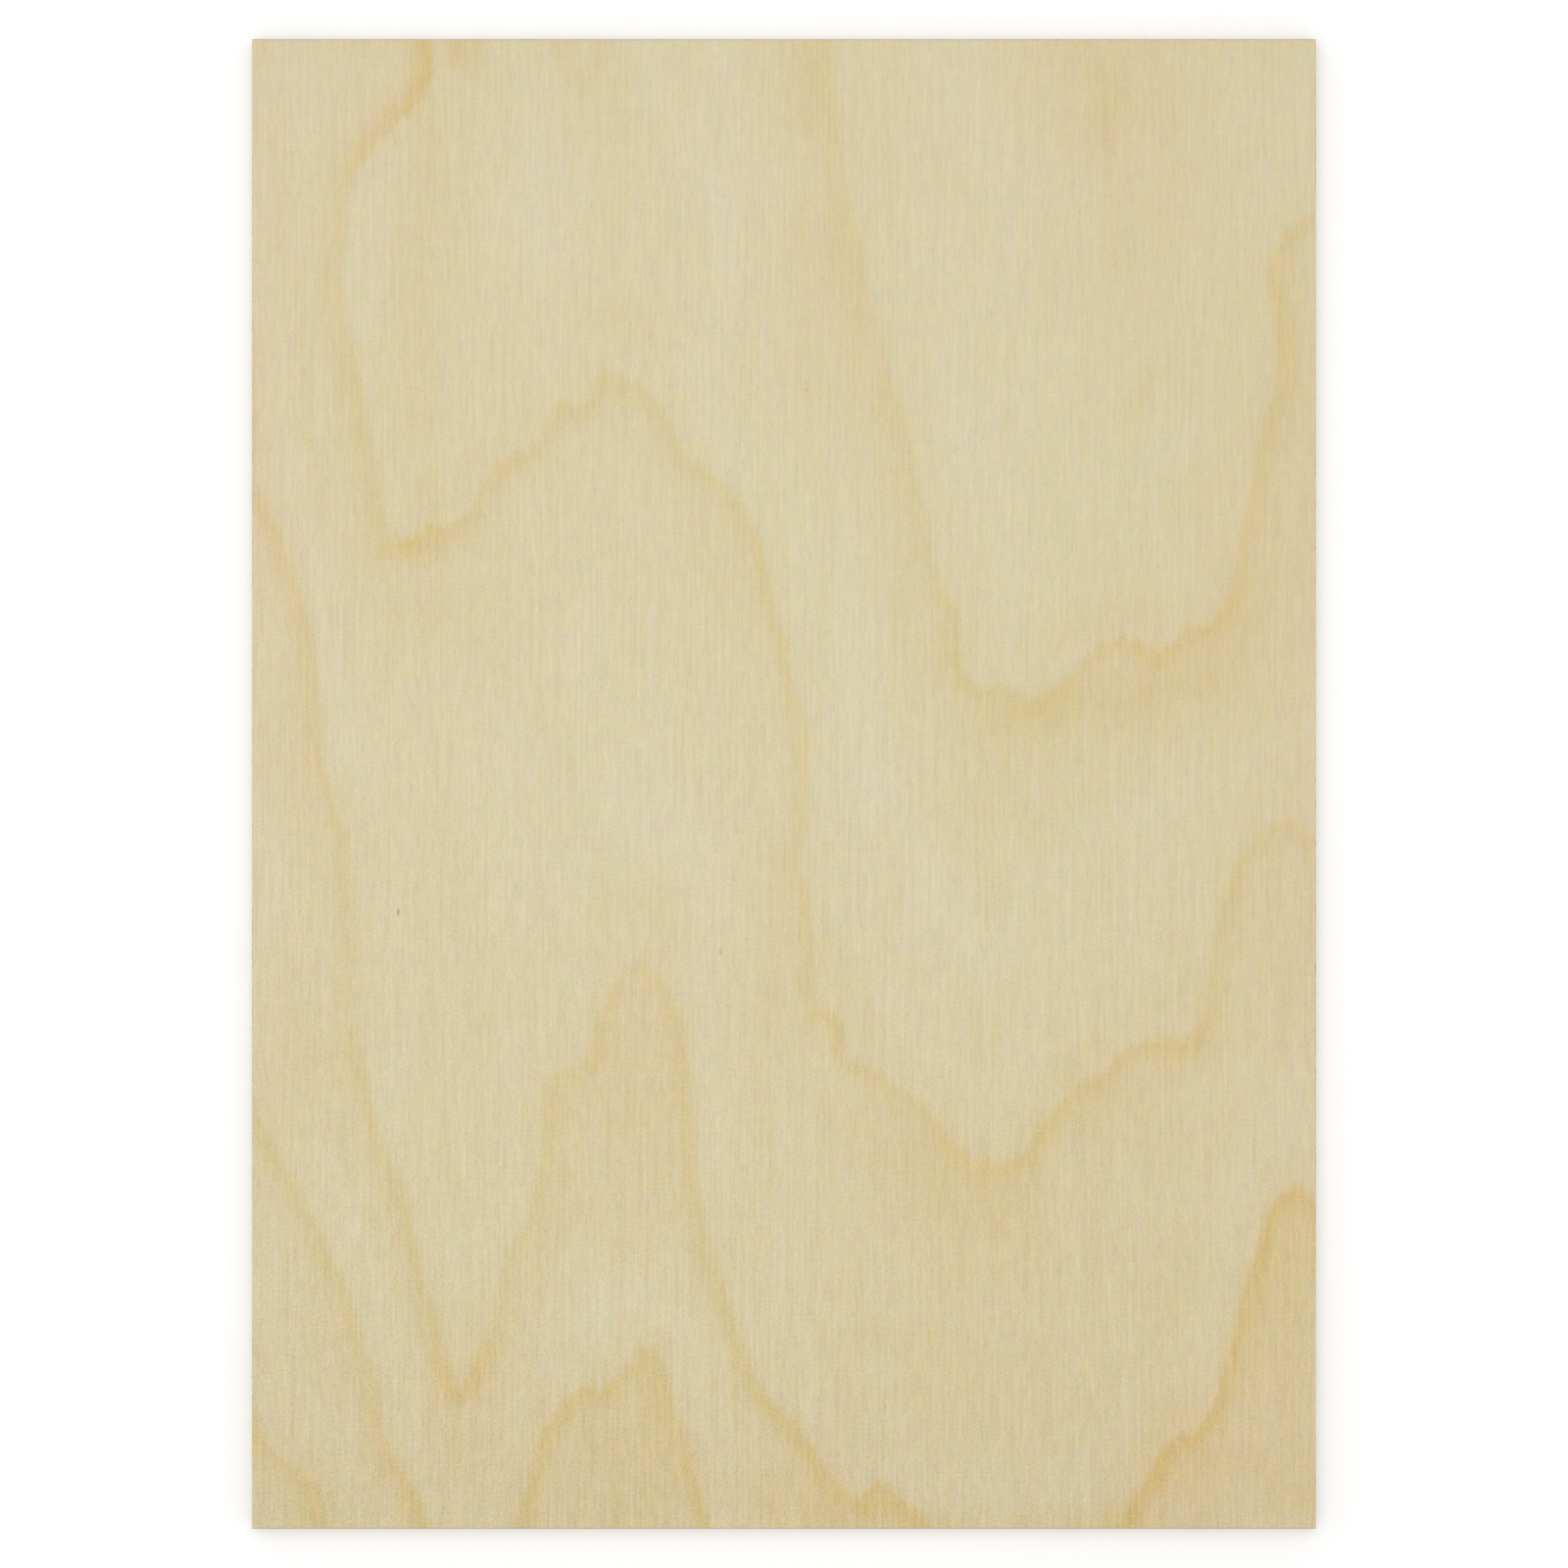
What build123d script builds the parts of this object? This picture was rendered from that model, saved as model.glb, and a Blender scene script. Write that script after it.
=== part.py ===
from build123d import *
import os

# Birch board: one panel of rotary-cut birch plywood, sawn square and lying flat on its back.
# Lengths are in millimetres. X runs across the board, Y runs along the grain of its face and
# Z points up out of the face. The origin is the middle of the underside.

# Driving dimensions
board_width = 500.0  # across the face grain
board_length = 700.0  # along the face grain
board_thickness = 12.0  # nine veneers, pressed together and sanded
arris_break = 0.4  # width taken off every sharp edge and corner by a light sanding


def sawn_panel():
    # The panel is cut to a plain rectangle, with its face and back parallel.
    with BuildPart() as panel:
        with BuildSketch(Plane.XY):
            Rectangle(board_width, board_length)
        extrude(amount=board_thickness)
        # Sandpaper drawn once along each arris leaves a narrow flat there, all round both faces
        # and down the four corners.
        chamfer(panel.edges(), length=arris_break)
    return panel.part


board = sawn_panel()
board.label = "board"

os.makedirs("parts", exist_ok=True)
export_step(board, "parts/board.step")
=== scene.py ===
import math

import bpy
import numpy as np
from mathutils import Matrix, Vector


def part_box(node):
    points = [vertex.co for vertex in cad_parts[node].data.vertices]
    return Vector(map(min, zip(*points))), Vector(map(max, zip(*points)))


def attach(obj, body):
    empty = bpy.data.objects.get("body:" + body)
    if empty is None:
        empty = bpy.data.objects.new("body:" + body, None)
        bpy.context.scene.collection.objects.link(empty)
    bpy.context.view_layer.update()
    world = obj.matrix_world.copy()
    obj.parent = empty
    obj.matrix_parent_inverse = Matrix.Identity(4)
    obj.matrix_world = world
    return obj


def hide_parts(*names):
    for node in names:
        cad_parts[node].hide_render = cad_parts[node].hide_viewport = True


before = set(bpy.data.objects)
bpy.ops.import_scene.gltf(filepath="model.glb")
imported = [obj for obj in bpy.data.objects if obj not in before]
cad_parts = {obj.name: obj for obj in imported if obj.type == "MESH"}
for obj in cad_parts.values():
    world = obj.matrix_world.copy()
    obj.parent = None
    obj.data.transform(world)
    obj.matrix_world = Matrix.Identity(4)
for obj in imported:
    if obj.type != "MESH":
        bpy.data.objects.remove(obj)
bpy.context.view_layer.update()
nodeLow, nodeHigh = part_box("board")
boardWidth = nodeHigh[0] - nodeLow[0]
boardLength = nodeHigh[1] - nodeLow[1]
boardThickness = nodeHigh[2] - nodeLow[2]
mm = 0.001
print("frame loaded, board in mm:", [round(v / mm, 1) for v in (boardWidth, boardLength, boardThickness)])

# The board's outline in the photo, in its pixels. The figure below is drawn in the same pixels.
photo = {"side": 1600, "left": 258.3, "right": 1340.8, "top": 40.0, "bottom": 1560.0}
photoWidth = photo["right"] - photo["left"]
photoHeight = photo["bottom"] - photo["top"]
mmPerPixel = boardLength / mm / photoHeight


def paint(red, green, blue):
    # A colour written as it shows on screen, 0 to 255, turned into the linear one that nodes take.
    shown = [value / 255 for value in (red, green, blue)]
    return [v / 12.92 if v <= 0.04045 else ((v + 0.055) / 1.055) ** 2.4 for v in shown] + [1.0]


# Small helpers for node trees


def addSocket(tree, name, way, kind, value=None):
    socket = tree.interface.new_socket(name=name, in_out=way, socket_type=kind)
    if value is not None:
        socket.default_value = value


def setInputs(tree, node, inputs):
    # A socket is linked to the input, and any other value is set on it.
    for name, value in inputs.items():
        if isinstance(value, bpy.types.NodeSocket):
            tree.links.new(value, node.inputs[name])
        else:
            node.inputs[name].default_value = value


def addNode(tree, kind, inputs=None, **settings):
    node = tree.nodes.new(kind)
    for name, value in settings.items():
        setattr(node, name, value)
    setInputs(tree, node, inputs or {})
    return node


def sums(tree, operation, first, second=0.0, third=None):
    # One math node, in a shader or a geometry tree.
    inputs = {0: first, 1: second}
    if third is not None:
        inputs[2] = third
    return addNode(tree, "ShaderNodeMath", inputs, operation=operation).outputs[0]


def times(tree, first, second):
    return sums(tree, "MULTIPLY", first, second)


def plus(tree, first, second):
    return sums(tree, "ADD", first, second)


def minus(tree, first, second):
    return sums(tree, "SUBTRACT", first, second)


def vectorSums(tree, operation, first, second):
    return addNode(tree, "ShaderNodeVectorMath", {0: first, 1: second}, operation=operation).outputs[0]


def combine(tree, x, y, z=0.0):
    return addNode(tree, "ShaderNodeCombineXYZ", {0: x, 1: y, 2: z}).outputs[0]


def separate(tree, vector):
    return addNode(tree, "ShaderNodeSeparateXYZ", {0: vector}).outputs


def ramp(tree, value, low, high, toLow=0.0, toHigh=1.0, curve="SMOOTHSTEP"):
    inputs = {"Value": value, "From Min": low, "From Max": high, "To Min": toLow, "To Max": toHigh}
    return addNode(tree, "ShaderNodeMapRange", inputs, interpolation_type=curve).outputs[0]


def blend(tree, factor, first, second):
    # Inputs 6 and 7 and output 2 are the colours of a Mix node.
    return addNode(tree, "ShaderNodeMix", {0: factor, 6: first, 7: second}, data_type="RGBA").outputs[2]


def noiseAt(tree, place, cell, seed, detail=0.0):
    # Noise whose cells measure cell along X, Y and Z, in the units of place. It swings about 0.
    fit = tuple(1 / length for length in cell)
    start = seed if isinstance(seed, bpy.types.NodeSocket) else (seed, seed, seed)
    inputs = {0: place, 1: fit, 2: start}
    moved = addNode(tree, "ShaderNodeVectorMath", inputs, operation="MULTIPLY_ADD").outputs[0]
    inputs = {"Vector": moved, "Scale": 1.0, "Detail": detail}
    noise = addNode(tree, "ShaderNodeTexNoise", inputs, noise_dimensions="3D").outputs["Fac"]
    return minus(tree, noise, 0.5)


def readFrom(items, name, kind, width=1):
    # One value, or a few, of each vertex, corner or face of a mesh.
    values = np.empty(len(items) * width, kind)
    items.foreach_get(name, values)
    return values.reshape(-1, width) if width > 1 else values


def addObject(name, data):
    made = bpy.data.objects.new(name, data)
    bpy.context.collection.objects.link(made)
    return made


# The figure of the face. Each growth line runs from left to right. The pale early wood of a year
# lies above its line and ends sharply there, and the dark line fades downwards into the next year.
growthLines = {
    "above": [(180, -400), (700, -400), (860, -200), (930, -90), (1010, -20), (1100, 18), (1190, 0),
              (1270, -70), (1400, -200), (1480, -300)],
    "first": [(200, -90), (480, -60), (740, -70), (835, -40), (848, 40), (848, 85), (856, 125),
              (860, 165), (861, 200), (872, 230), (880, 255), (885, 290), (892, 320), (904, 345),
              (909, 385), (922, 420), (932, 455), (938, 495), (948, 535), (953, 570), (964, 600),
              (976, 620), (980, 640), (979, 665), (986, 690), (1002, 700), (1014, 696), (1034, 700),
              (1052, 715), (1068, 705), (1085, 692), (1101, 674), (1120, 657), (1143, 647),
              (1162, 656), (1183, 664), (1197, 655), (1208, 638), (1231, 637), (1246, 623),
              (1254, 600), (1258, 570), (1267, 530), (1275, 490), (1283, 450), (1290, 420),
              (1300, 400), (1301, 360), (1299, 325), (1291, 290), (1293, 262), (1305, 241),
              (1325, 224), (1341, 215), (1400, 190), (1480, 180)],
    "second": [(180, 60), (250, -10), (330, -20), (420, -5), (442, 40), (443, 75), (433, 99),
               (414, 117), (396, 135), (378, 156), (365, 178), (357, 205), (355, 240), (353, 275),
               (351, 305), (355, 335), (361, 362), (371, 395), (377, 430), (381, 455), (388, 475),
               (390, 500), (390, 518), (396, 538), (406, 549), (422, 547), (434, 539), (454, 536),
               (470, 529), (480, 522), (487, 502), (500, 488), (509, 468), (527, 462), (546, 452),
               (556, 432), (563, 412), (573, 405), (588, 416), (599, 409), (608, 384), (620, 375),
               (638, 385), (651, 390), (668, 407), (684, 425), (694, 452), (702, 468), (722, 481),
               (746, 496), (763, 522), (777, 552), (788, 595), (794, 632), (805, 655), (811, 695),
               (822, 728), (826, 755), (824, 800), (822, 840), (816, 880), (824, 910), (829, 950),
               (830, 1000), (836, 1028), (852, 1033), (862, 1052), (866, 1076), (882, 1084),
               (905, 1099), (938, 1123), (958, 1143), (972, 1167), (996, 1185), (1028, 1184),
               (1042, 1173), (1060, 1146), (1078, 1130), (1093, 1108), (1124, 1095), (1141, 1072),
               (1165, 1063), (1190, 1056), (1203, 1062), (1217, 1056), (1226, 1030), (1234, 1000),
               (1239, 955), (1248, 908), (1262, 871), (1280, 851), (1299, 839), (1318, 836),
               (1341, 850), (1390, 890), (1480, 900)],
    "third": [(180, 200), (240, 240), (261, 340), (264, 430), (262, 490), (274, 516), (290, 548),
              (301, 583), (311, 615), (319, 645), (325, 690), (328, 745), (334, 790), (346, 826),
              (355, 850), (358, 880), (364, 915), (366, 955), (362, 990), (360, 1030), (367, 1066),
              (379, 1106), (386, 1145), (398, 1178), (411, 1202), (417, 1240), (429, 1282),
              (441, 1325), (452, 1365), (461, 1400), (468, 1418), (477, 1402), (485, 1383),
              (499, 1364), (505, 1322), (513, 1282), (530, 1260), (543, 1225), (551, 1180),
              (553, 1125), (556, 1100), (572, 1091), (590, 1088), (604, 1076), (607, 1042),
              (617, 1014), (631, 994), (640, 980), (655, 976), (671, 989), (687, 1018), (699, 1048),
              (704, 1095), (708, 1150), (712, 1205), (721, 1252), (733, 1290), (748, 1335),
              (762, 1376), (776, 1412), (790, 1435), (812, 1450), (830, 1474), (843, 1500),
              (856, 1517), (874, 1530), (888, 1517), (899, 1512), (914, 1526), (938, 1544),
              (956, 1566), (1000, 1610), (1060, 1620), (1112, 1590), (1140, 1558), (1152, 1532),
              (1166, 1513), (1179, 1486), (1194, 1467), (1213, 1463), (1230, 1442), (1242, 1418),
              (1250, 1380), (1259, 1338), (1273, 1298), (1284, 1262), (1293, 1230), (1308, 1216),
              (1322, 1208), (1341, 1223), (1390, 1280), (1480, 1300)],
    "fourth": [(180, 1000), (235, 1070), (258, 1124), (274, 1152), (288, 1182), (301, 1197),
               (311, 1223), (325, 1246), (340, 1282), (353, 1306), (366, 1345), (376, 1382),
               (386, 1420), (392, 1463), (405, 1490), (422, 1516), (434, 1543), (446, 1580),
               (470, 1625), (500, 1620), (518, 1590), (527, 1550), (538, 1512), (549, 1470),
               (562, 1446), (579, 1429), (594, 1412), (610, 1415), (628, 1402), (643, 1390),
               (652, 1373), (662, 1372), (675, 1386), (683, 1416), (697, 1452), (708, 1488),
               (717, 1525), (727, 1562), (760, 1640), (860, 1720), (1100, 1740), (1300, 1620),
               (1480, 1600)],
    "fifth": [(180, 1320), (240, 1390), (260, 1438), (272, 1466), (284, 1486), (305, 1498),
              (321, 1512), (331, 1537), (342, 1568), (370, 1640), (430, 1700), (600, 1700),
              (660, 1650), (700, 1720), (900, 1800), (1200, 1840), (1480, 1800)],
    "below": [(180, 1620), (240, 1680), (330, 1800), (500, 1900), (900, 1990), (1480, 2000)],
}

# How dark the growth lines are along their way: x, y, reach, darkness. Far from all of these
# the usual darkness holds.
usualDarkness = 0.9
lineStretches = [
    (850, 110, 60, 0.7), (872, 270, 60, 0.6), (900, 390, 60, 0.5), (940, 530, 60, 0.5),
    (970, 640, 35, 0.8), (1050, 720, 50, 0.85), (1190, 667, 50, 1.2), (1240, 635, 30, 1.2),
    (1270, 530, 60, 0.7), (1300, 290, 60, 0.9),
    (430, 70, 40, 1.8), (378, 150, 30, 1.2), (350, 260, 60, 0.55), (375, 450, 50, 0.7),
    (405, 555, 25, 1.1), (438, 548, 22, 1.6), (490, 505, 40, 0.75), (520, 470, 30, 1.0),
    (575, 415, 30, 0.8), (640, 385, 50, 0.7), (715, 480, 35, 0.75), (790, 620, 60, 0.9),
    (815, 750, 80, 0.75), (822, 960, 60, 0.85), (850, 1055, 35, 0.8), (940, 1140, 60, 0.7),
    (1015, 1190, 40, 1.0), (1100, 1110, 40, 1.0), (1180, 1068, 45, 1.2), (1230, 1000, 40, 0.6),
    (1250, 900, 50, 0.7), (1305, 842, 40, 0.7),
    (300, 580, 60, 0.85), (325, 720, 60, 0.85), (350, 920, 60, 0.75), (370, 1100, 80, 0.75),
    (430, 1300, 60, 0.8), (468, 1425, 35, 1.3), (515, 1310, 50, 0.6), (560, 1130, 45, 0.75),
    (650, 985, 50, 0.7), (705, 1130, 80, 0.85), (740, 1320, 50, 0.9), (785, 1430, 40, 1.2),
    (870, 1535, 60, 1.3), (1190, 1480, 60, 1.5), (1260, 1360, 60, 1.1), (1310, 1230, 40, 1.4),
    (280, 1200, 30, 1.0), (330, 1300, 50, 1.0), (400, 1500, 60, 1.0), (545, 1500, 50, 1.0),
    (610, 1420, 50, 1.2), (660, 1380, 30, 1.0), (690, 1450, 40, 0.8), (700, 1520, 50, 1.0),
    (262, 1450, 30, 1.0), (305, 1500, 40, 0.9),
]

# Soft strokes between the lines: darkness (below 0 they are paler), half width, and the way they take.
woodShades = [
    (0.25, 120, [(1320, 620), (1320, 980)]),
    (0.30, 110, [(1180, 60), (1230, 300), (1210, 560)]),
    (0.20, 110, [(380, 1520), (900, 1500), (1180, 1400)]),
    (0.15, 200, [(300, 1190), (1300, 1150)]),
    (0.45, 20, [(844, 230), (875, 380), (894, 450), (910, 530), (928, 610), (950, 690)]),
    (0.50, 26, [(1010, 735), (1110, 715), (1230, 690)]),
    (0.40, 24, [(1060, 664), (1130, 624), (1180, 622)]),
    (0.45, 12, [(395, 565), (440, 565), (480, 548)]),
    (0.45, 30, [(472, 1350), (469, 1395)]),
    (0.30, 24, [(1225, 1450), (1268, 1380), (1300, 1280)]),
    (0.50, 22, [(1318, 1236), (1341, 1260)]),
    (0.30, 24, [(1080, 1150), (1160, 1110), (1240, 1050)]),
    (0.45, 20, [(1085, 1090), (1115, 1068)]),
    (0.30, 24, [(1254, 1148), (1260, 1170)]),
    (0.40, 22, [(585, 1240), (553, 1282), (543, 1335)]),
    (0.40, 18, [(850, 970), (864, 1018), (845, 1054)]),
    (0.30, 22, [(345, 1080), (352, 1100)]),
    (0.45, 22, [(885, 1545), (960, 1556), (1130, 1556)]),
    (0.45, 24, [(1150, 1556), (1180, 1510), (1260, 1487)]),
    (0.30, 18, [(1138, 1500), (1158, 1478)]),
    (0.45, 22, [(1335, 1530), (1341, 1560)]),
    (0.25, 20, [(523, 1380), (520, 1405)]),
    (0.25, 20, [(734, 1405), (738, 1432)]),
    (0.70, 9, [(570, 42), (582, 66), (597, 90), (608, 70), (614, 42)]),
    (0.95, 15, [(468, 40), (470, 60)]),
    (0.40, 10, [(492, 40), (490, 84)]),
    (0.40, 24, [(437, 120), (432, 220), (426, 330), (426, 430)]),
    (0.35, 22, [(625, 320), (660, 335)]),
    (0.28, 26, [(635, 90), (628, 130)]),
    (0.20, 30, [(625, 230), (640, 250)]),
    (0.50, 18, [(440, 495), (445, 515)]),
    (0.25, 38, [(420, 620), (480, 625)]),
    (0.15, 28, [(730, 560), (735, 620)]),
    (0.45, 28, [(818, 40), (818, 120)]),
    (0.25, 30, [(805, 250), (830, 400)]),
    (0.20, 40, [(1318, 300), (1322, 560)]),
    (0.15, 45, [(1290, 640), (1290, 700)]),
    (0.40, 38, [(1040, 750), (1180, 730)]),
    (0.20, 45, [(1020, 800), (1110, 805)]),
    (0.25, 40, [(1000, 820), (1060, 850)]),
    (0.40, 55, [(1100, 50), (1130, 120)]),
    (0.35, 14, [(1128, 80), (1132, 270)]),
    (0.30, 8, [(1063, 200), (1066, 340)]),
    (0.25, 14, [(1180, 380), (1150, 420)]),
    (0.20, 14, [(1100, 550), (1120, 570)]),
    (0.20, 14, [(1215, 480), (1215, 520)]),
    (0.40, 40, [(650, 1050), (640, 1120)]),
    (0.25, 40, [(640, 1160), (640, 1260)]),
    (0.30, 25, [(580, 1130), (575, 1200)]),
    (0.50, 50, [(640, 1460), (640, 1560)]),
    (0.30, 30, [(305, 1060), (310, 1140)]),
    (0.20, 22, [(550, 1100), (545, 1140)]),
    (0.30, 16, [(635, 918), (665, 918)]),
    (0.30, 9, [(786, 870), (788, 960), (783, 1040)]),
    (0.45, 42, [(890, 1150), (960, 1210), (1015, 1235)]),
    (0.40, 36, [(1170, 1160), (1200, 1165)]),
    (0.35, 100, [(920, 1290), (1180, 1280)]),
    (0.35, 24, [(1160, 1035), (1205, 1015)]),
    (0.25, 14, [(1200, 955), (1200, 985)]),
    (0.15, 40, [(1300, 900), (1310, 1060)]),
    (0.30, 14, [(1018, 890), (1024, 925)]),
    (0.20, 14, [(1108, 900), (1112, 930)]),
    (0.15, 50, [(300, 1380), (330, 1480)]),
    (0.30, 26, [(440, 1450), (470, 1500)]),
    (0.20, 34, [(262, 1530), (290, 1550)]),
    (0.75, 44, [(1325, 1300), (1320, 1490)]),
    (0.50, 40, [(1240, 1530), (1270, 1540)]),
    (0.60, 30, [(795, 1535), (830, 1556)]),
    (0.25, 70, [(880, 1410), (1100, 1430)]),
    (0.35, 20, [(1175, 1445), (1200, 1440)]),
    (-0.30, 12, [(366, 190), (372, 340)]),
    (-0.20, 35, [(550, 160), (545, 250)]),
    (-0.30, 20, [(655, 50), (660, 100)]),
    (-0.30, 22, [(735, 60), (735, 250), (722, 420), (755, 480)]),
    (-0.30, 13, [(300, 470), (322, 560), (342, 680), (358, 780)]),
    (-0.15, 40, [(690, 740), (690, 790)]),
    (-0.30, 40, [(640, 830), (690, 860)]),
    (0.20, 26, [(610, 965), (680, 965)]),
    (-0.25, 26, [(850, 540), (865, 700), (890, 800)]),
    (-0.22, 18, [(898, 800), (935, 880), (975, 945), (1005, 975), (1060, 900)]),
    (-0.18, 16, [(850, 900), (895, 1005), (955, 1075), (1005, 1115), (1060, 1075)]),
    (-0.20, 14, [(262, 830), (286, 885), (270, 990)]),
    (-0.35, 11, [(360, 1230), (362, 1265)]),
    (-0.25, 12, [(345, 1190), (370, 1280), (392, 1360), (425, 1460), (450, 1560)]),
    (-0.20, 20, [(395, 1080), (405, 1190)]),
    (-0.20, 25, [(585, 900), (590, 980)]),
    (-0.25, 14, [(718, 900), (722, 1000), (735, 1180)]),
    (-0.30, 22, [(600, 1350), (650, 1320), (700, 1360), (725, 1450)]),
    (-0.15, 25, [(1230, 200), (1225, 340)]),
    (-0.25, 30, [(1310, 1110), (1300, 1160)]),
    (-0.30, 20, [(1262, 1160), (1250, 1290), (1225, 1380)]),
    (-0.20, 20, [(1085, 880), (1110, 850), (1250, 790), (1341, 730)]),
    (-0.20, 30, [(955, 60), (960, 300), (990, 480)]),
    (-0.25, 30, [(1220, 440), (1152, 485), (1182, 600)]),
    (-0.25, 22, [(304, 40), (304, 62)]),
    (-0.25, 24, [(332, 1455), (375, 1465)]),
    (-0.25, 22, [(258, 1300), (266, 1312)]),
]

# Where the wood is a little pinker, or greener where the first number is below 0, in the same form.
woodTints = [
    (0.45, 60, [(258, 60), (258, 520)]),
    (0.25, 60, [(258, 560), (262, 1100)]),
    (0.20, 110, [(262, 1460), (800, 1530), (1341, 1530)]),
    (0.30, 60, [(1335, 540), (1335, 1200)]),
    (0.30, 45, [(1310, 1420), (1210, 1540)]),
    (0.25, 30, [(1110, 670), (1240, 645)]),
    (0.25, 28, [(1130, 1088), (1220, 1064)]),
    (0.45, 26, [(1335, 1240), (1300, 1245), (1262, 1380), (1200, 1480), (1160, 1550)]),
    (0.40, 28, [(860, 1535), (940, 1550)]),
    (0.30, 24, [(462, 1400), (475, 1420)]),
    (0.35, 26, [(430, 60), (380, 150)]),
    (0.30, 26, [(625, 985), (675, 985)]),
    (0.20, 70, [(1050, 80), (1180, 190)]),
    (0.15, 60, [(830, 260), (840, 360)]),
    (-0.30, 50, [(770, 470), (820, 560), (870, 680), (860, 800)]),
    (-0.22, 90, [(600, 850), (660, 700)]),
    (-0.25, 70, [(1160, 480), (1100, 520)]),
    (-0.15, 150, [(1000, 400), (1050, 1000)]),
    (-0.20, 60, [(450, 1150), (470, 1260)]),
]

# Painted shade: where the light falls off towards the bottom and top edges, the face is drawn darker, in
# the same form. A little of it is darker wood.
paintedFalloffStrokes = [
    (0.45, 110, [(258, 1500), (900, 1520), (1341, 1540)]),
    (0.40, 50, [(258, 1570), (560, 1570)]),
    (0.55, 20, [(860, 1560), (1240, 1560)]),
    (0.20, 60, [(258, 1380), (380, 1380)]),
    (0.25, 50, [(620, 1500), (620, 1560)]),
    (0.25, 30, [(258, 42), (264, 60)]),
    (0.20, 50, [(258, 30), (640, 30)]),
]

# How strong the fibres are. On the face they get stronger towards its lower left corner.
fibreStrength = {
    "top": 1.0,
    "more": 0.42,  # added on the way down
    "bend": 1.4,  # above 1, most of it is added low down
    "left": 1.06,
    "right": 0.94,
    "back": 1.15,
}


def distanceTo(line, x, y):
    # Distance of each place from a line, in pixels.
    nearest = np.full(x.shape, np.inf)
    for (x0, y0), (x1, y1) in zip(line, line[1:]):
        alongX, alongY = x1 - x0, y1 - y0
        part = ((x - x0) * alongX + (y - y0) * alongY) / (alongX**2 + alongY**2)
        part = np.clip(part, 0, 1)
        nearest = np.minimum(nearest, np.hypot(x - x0 - part * alongX, y - y0 - part * alongY))
    return nearest


def liesAbove(line, x, y):
    # True where a place is on the upper side of a line, counting the crossings of a ray.
    farUp = -5000
    outline = line + [(line[-1][0], farUp), (line[0][0], farUp)]
    inside = np.zeros(x.shape, bool)
    for (x0, y0), (x1, y1) in zip(outline, outline[1:] + outline[:1]):
        if y0 != y1:
            crosses = (y0 > y) != (y1 > y)
            inside ^= crosses & (x < (x1 - x0) * (y - y0) / (y1 - y0) + x0)
    return inside


def linesAt(x, y):
    # How far each place lies below each growth line, in pixels, and less than 0 above it.
    below = []
    for line in growthLines.values():
        side = np.where(liesAbove(line, x, y), -1, 1)
        below.append(distanceTo(line, x, y) * side)
    return np.stack(below)


def yearAt(below):
    # The age of the wood in years, a whole number on each line.
    year = (below[1:-1] > 0).sum(0)
    since = np.abs(np.take_along_axis(below, year[None], 0)[0])
    until = np.abs(np.take_along_axis(below, year[None] + 1, 0)[0])
    return year + since / (since + until)


def nearestLine(below):
    # How far each place lies below the growth line that is nearest to it.
    which = np.abs(below).argmin(0)
    return np.take_along_axis(below, which[None], 0)[0]


def darknessAt(x, y):
    pull = 6.0  # how much more a stretch counts at its middle than the usual darkness does
    total = np.full(x.shape, usualDarkness)
    weight = np.ones(x.shape)
    for x0, y0, reach, darkness in lineStretches:
        near = pull * np.exp(-((x - x0) ** 2 + (y - y0) ** 2) / reach**2)
        total += near * darkness
        weight += near
    return total / weight


def fibreStrengthAt(x, y):
    across = (x - photo["left"]) / photoWidth
    down = np.clip((y - photo["top"]) / photoHeight, 0, 1)
    strength = fibreStrength["top"] + fibreStrength["more"] * down ** fibreStrength["bend"]
    sideways = fibreStrength["left"] + (fibreStrength["right"] - fibreStrength["left"]) * across
    return strength * sideways


def strokesAt(strokes, x, y):
    # The sum of soft strokes at each place.
    total = np.zeros(x.shape)
    for strength, halfWidth, way in strokes:
        total += strength * np.exp(-((distanceTo(way, x, y) / halfWidth) ** 2))
    return total


# The board's body, made by Geometry Nodes: a closed box whose sides have a row of faces for each
# veneer, with the glue lines sunk a little and the veneers slightly wavy.
body = {
    "Width": boardWidth,
    "Length": boardLength,
    "Thickness": boardThickness,
    "Plies": 9,
    "Face Ply": 1.2 * mm,  # the two outer veneers are sanded thinner than the others
    "Arris": 0.4 * mm,
    "Glue Gap": 0.14 * mm,  # from the middle of a glue line to the clean wood beside it
    "Groove": 0.05 * mm,
    "Roughness": 0.04 * mm,
    "Tear Length": 3 * mm,
    "Wave": 0.32 * mm,
    "Wave Length": 45 * mm,
    "Cells Across": 160,
    "Cells Along": 224,
    "Seed": 11.0,
}
rowsPerPly = 3.0  # one on the seam below the veneer, and one just inside each of its two seams


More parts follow.
